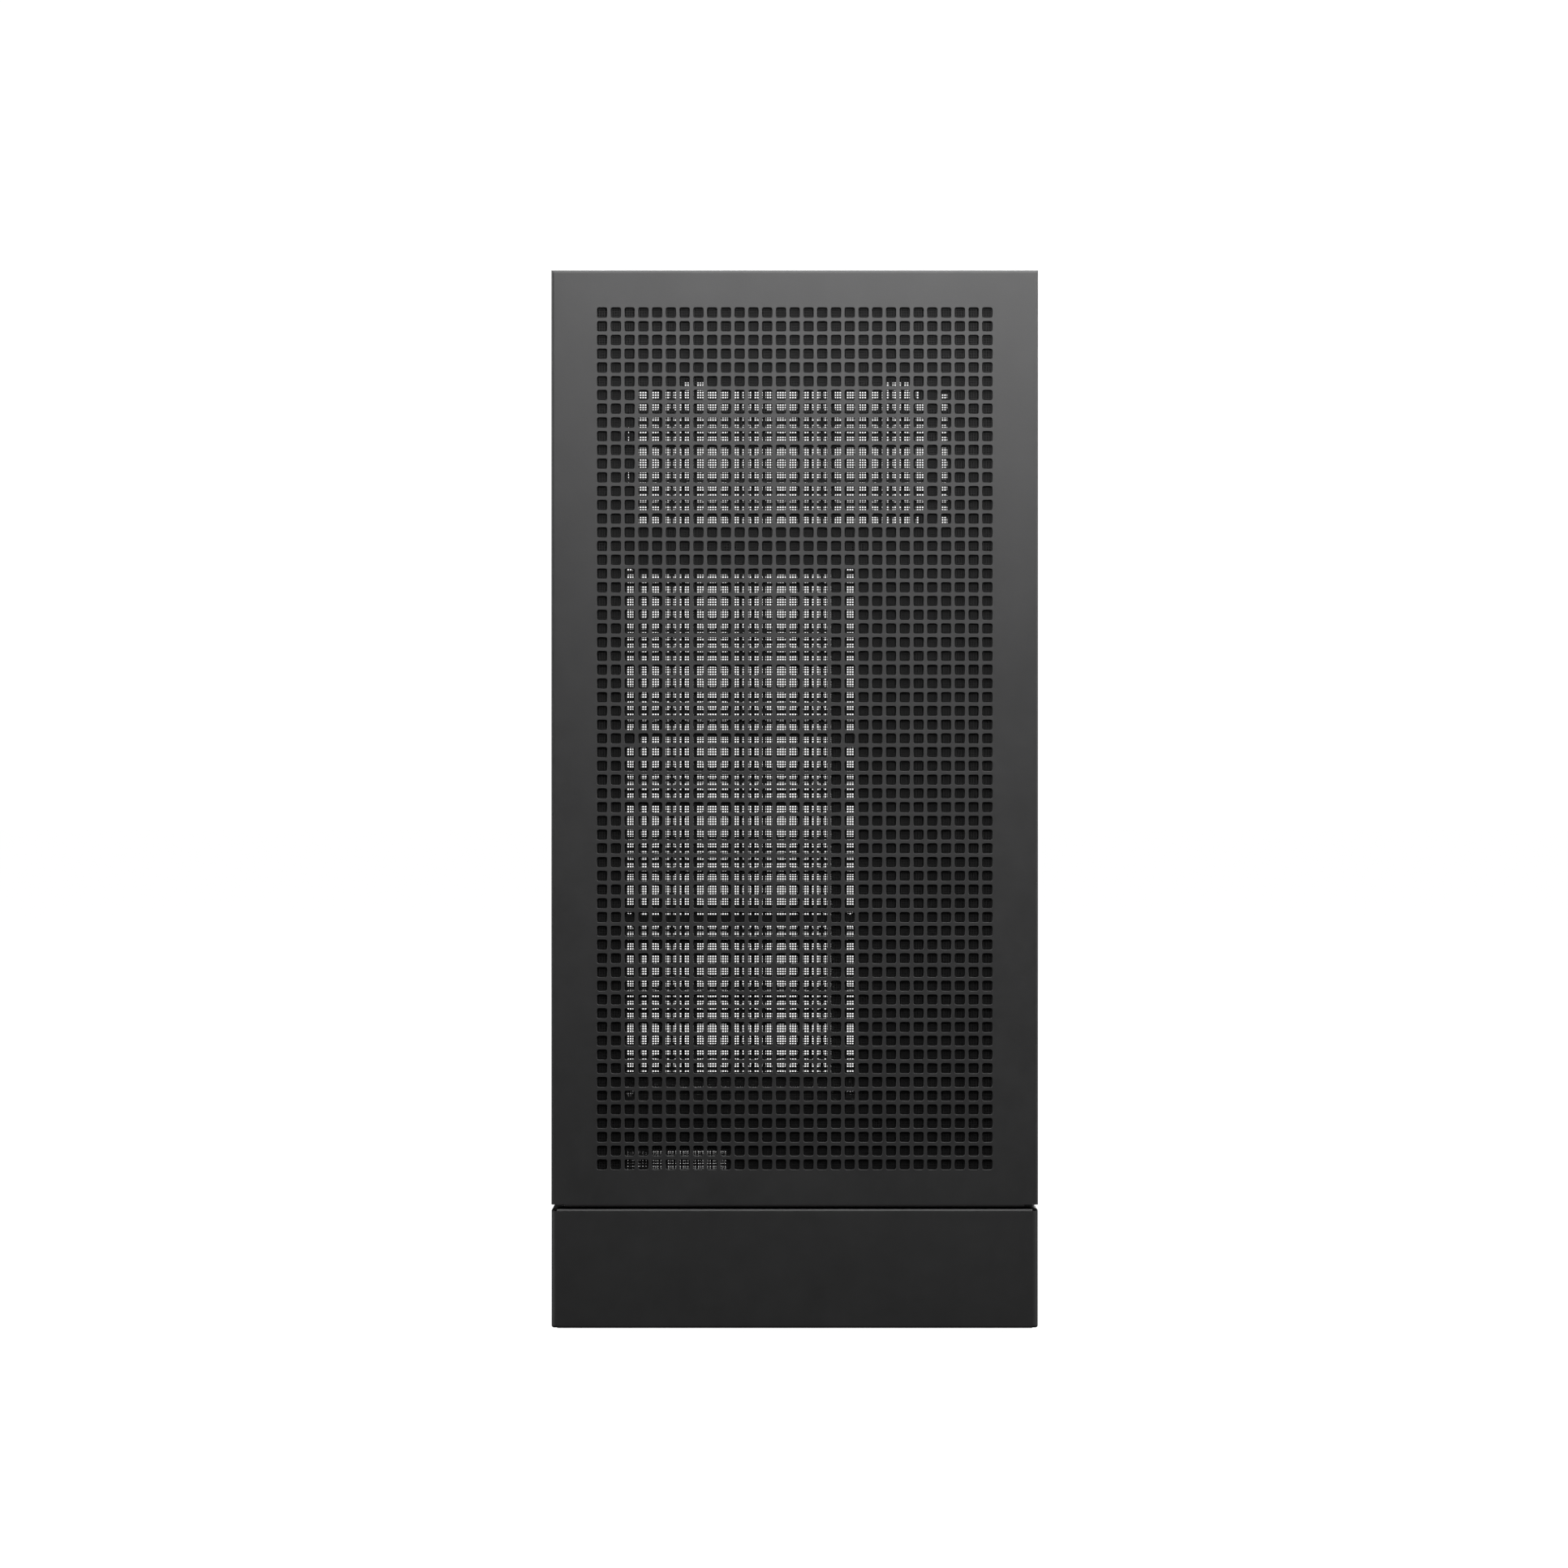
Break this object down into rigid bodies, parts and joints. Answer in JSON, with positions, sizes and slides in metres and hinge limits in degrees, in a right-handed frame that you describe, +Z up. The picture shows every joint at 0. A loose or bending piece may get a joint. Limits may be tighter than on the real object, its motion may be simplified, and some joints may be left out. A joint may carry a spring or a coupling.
{
  "type": "compact computer case",
  "caption": "Upright compact computer case with perforated pull-off panels, mesh filters, inner steel frame, card riser and a cable base.",
  "frame": {"origin": "on the standing surface, under the middle of the case", "axes": "+Z up, the front faces -Y, +X is to the right seen from the front"},
  "size_m": [0.167, 0.245, 0.365],
  "materials": {
    "panel_steel": "matte",
    "frame_steel": "matte",
    "filter_mesh": "matte",
    "black_plastic": "matte",
    "rubber": "matte",
    "brass": "satin",
    "bright_steel": "satin",
    "board": "satin"
  },
  "bodies": {
    "chassis": {"base_skirt": "panel_steel", "front_frame": "frame_steel", "rear_frame": "frame_steel", "top_left_rail": "frame_steel", "top_right_rail": "frame_steel", "bottom_left_rail": "frame_steel", "bottom_right_rail": "frame_steel", "floor_plate": "frame_steel", "supply_shelf": "frame_steel", "motherboard_tray": "frame_steel", "fan_bracket": "frame_steel", "base_plate": "frame_steel", "slot_clamp": "frame_steel", "riser_slot": "black_plastic", "riser_plug": "black_plastic", "riser_ribbon": "black_plastic", "power_switch": "black_plastic", "power_inlet": "black_plastic", "inlet_lead": "black_plastic", "inlet_plug": "black_plastic", "slot_cover_1": "bright_steel", "slot_cover_2": "bright_steel", "slot_cover_3": "bright_steel", "usb_c_port": "bright_steel", "usb_a_port_1": "bright_steel", "usb_a_port_2": "bright_steel", "riser_board": "board", "io_board": "board", "foot_front_left": "rubber", "foot_front_right": "rubber", "foot_rear_left": "rubber", "foot_rear_right": "rubber", "standoff_1": "brass", "standoff_2": "brass", "standoff_3": "brass", "standoff_4": "brass"},
    "front_cover": {"front_panel": "panel_steel", "front_filter": "filter_mesh", "front_snap_rail_top": "black_plastic", "front_snap_rail_bottom": "black_plastic"},
    "rear_cover": {"rear_panel": "panel_steel", "rear_snap_rail_top": "black_plastic", "rear_snap_rail_bottom": "black_plastic"},
    "left_cover": {"left_panel": "panel_steel", "left_filter": "filter_mesh", "left_snap_rail_top": "black_plastic", "left_snap_rail_bottom": "black_plastic"},
    "right_cover": {"right_panel": "panel_steel", "right_filter": "filter_mesh", "right_snap_rail_top": "black_plastic", "right_snap_rail_bottom": "black_plastic"},
    "top_cover": {"top_panel": "panel_steel", "top_filter": "filter_mesh", "top_snap_rail_front": "black_plastic", "top_snap_rail_rear": "black_plastic"},
    "button": {"power_button": "black_plastic"},
    "slot_latch": {"riser_latch": "black_plastic"}
  },
  "joints": [
    {"name": "front_cover_pull", "type": "slide", "parent": "chassis", "child": "front_cover", "axis": [0, -1, 0], "range_m": [0, 0.06]},
    {"name": "rear_cover_pull", "type": "slide", "parent": "chassis", "child": "rear_cover", "axis": [0, 1, 0], "range_m": [0, 0.06]},
    {"name": "left_cover_pull", "type": "slide", "parent": "chassis", "child": "left_cover", "axis": [-1, 0, 0], "range_m": [0, 0.05]},
    {"name": "right_cover_pull", "type": "slide", "parent": "chassis", "child": "right_cover", "axis": [1, 0, 0], "range_m": [0, 0.05]},
    {"name": "top_cover_lift", "type": "slide", "parent": "chassis", "child": "top_cover", "axis": [0, 0, 1], "range_m": [0, 0.05]},
    {"name": "power_button_press", "type": "slide", "parent": "chassis", "child": "button", "axis": [-1, 0, 0], "range_m": [0, 0.0012], "stiffness_N_per_m": 500},
    {"name": "slot_latch_turn", "type": "hinge", "parent": "chassis", "child": "slot_latch", "pos_m": [0.0302, -0.0682, 0.2015], "axis": [0, 1, 0], "range_deg": [0, 30]}
  ]
}
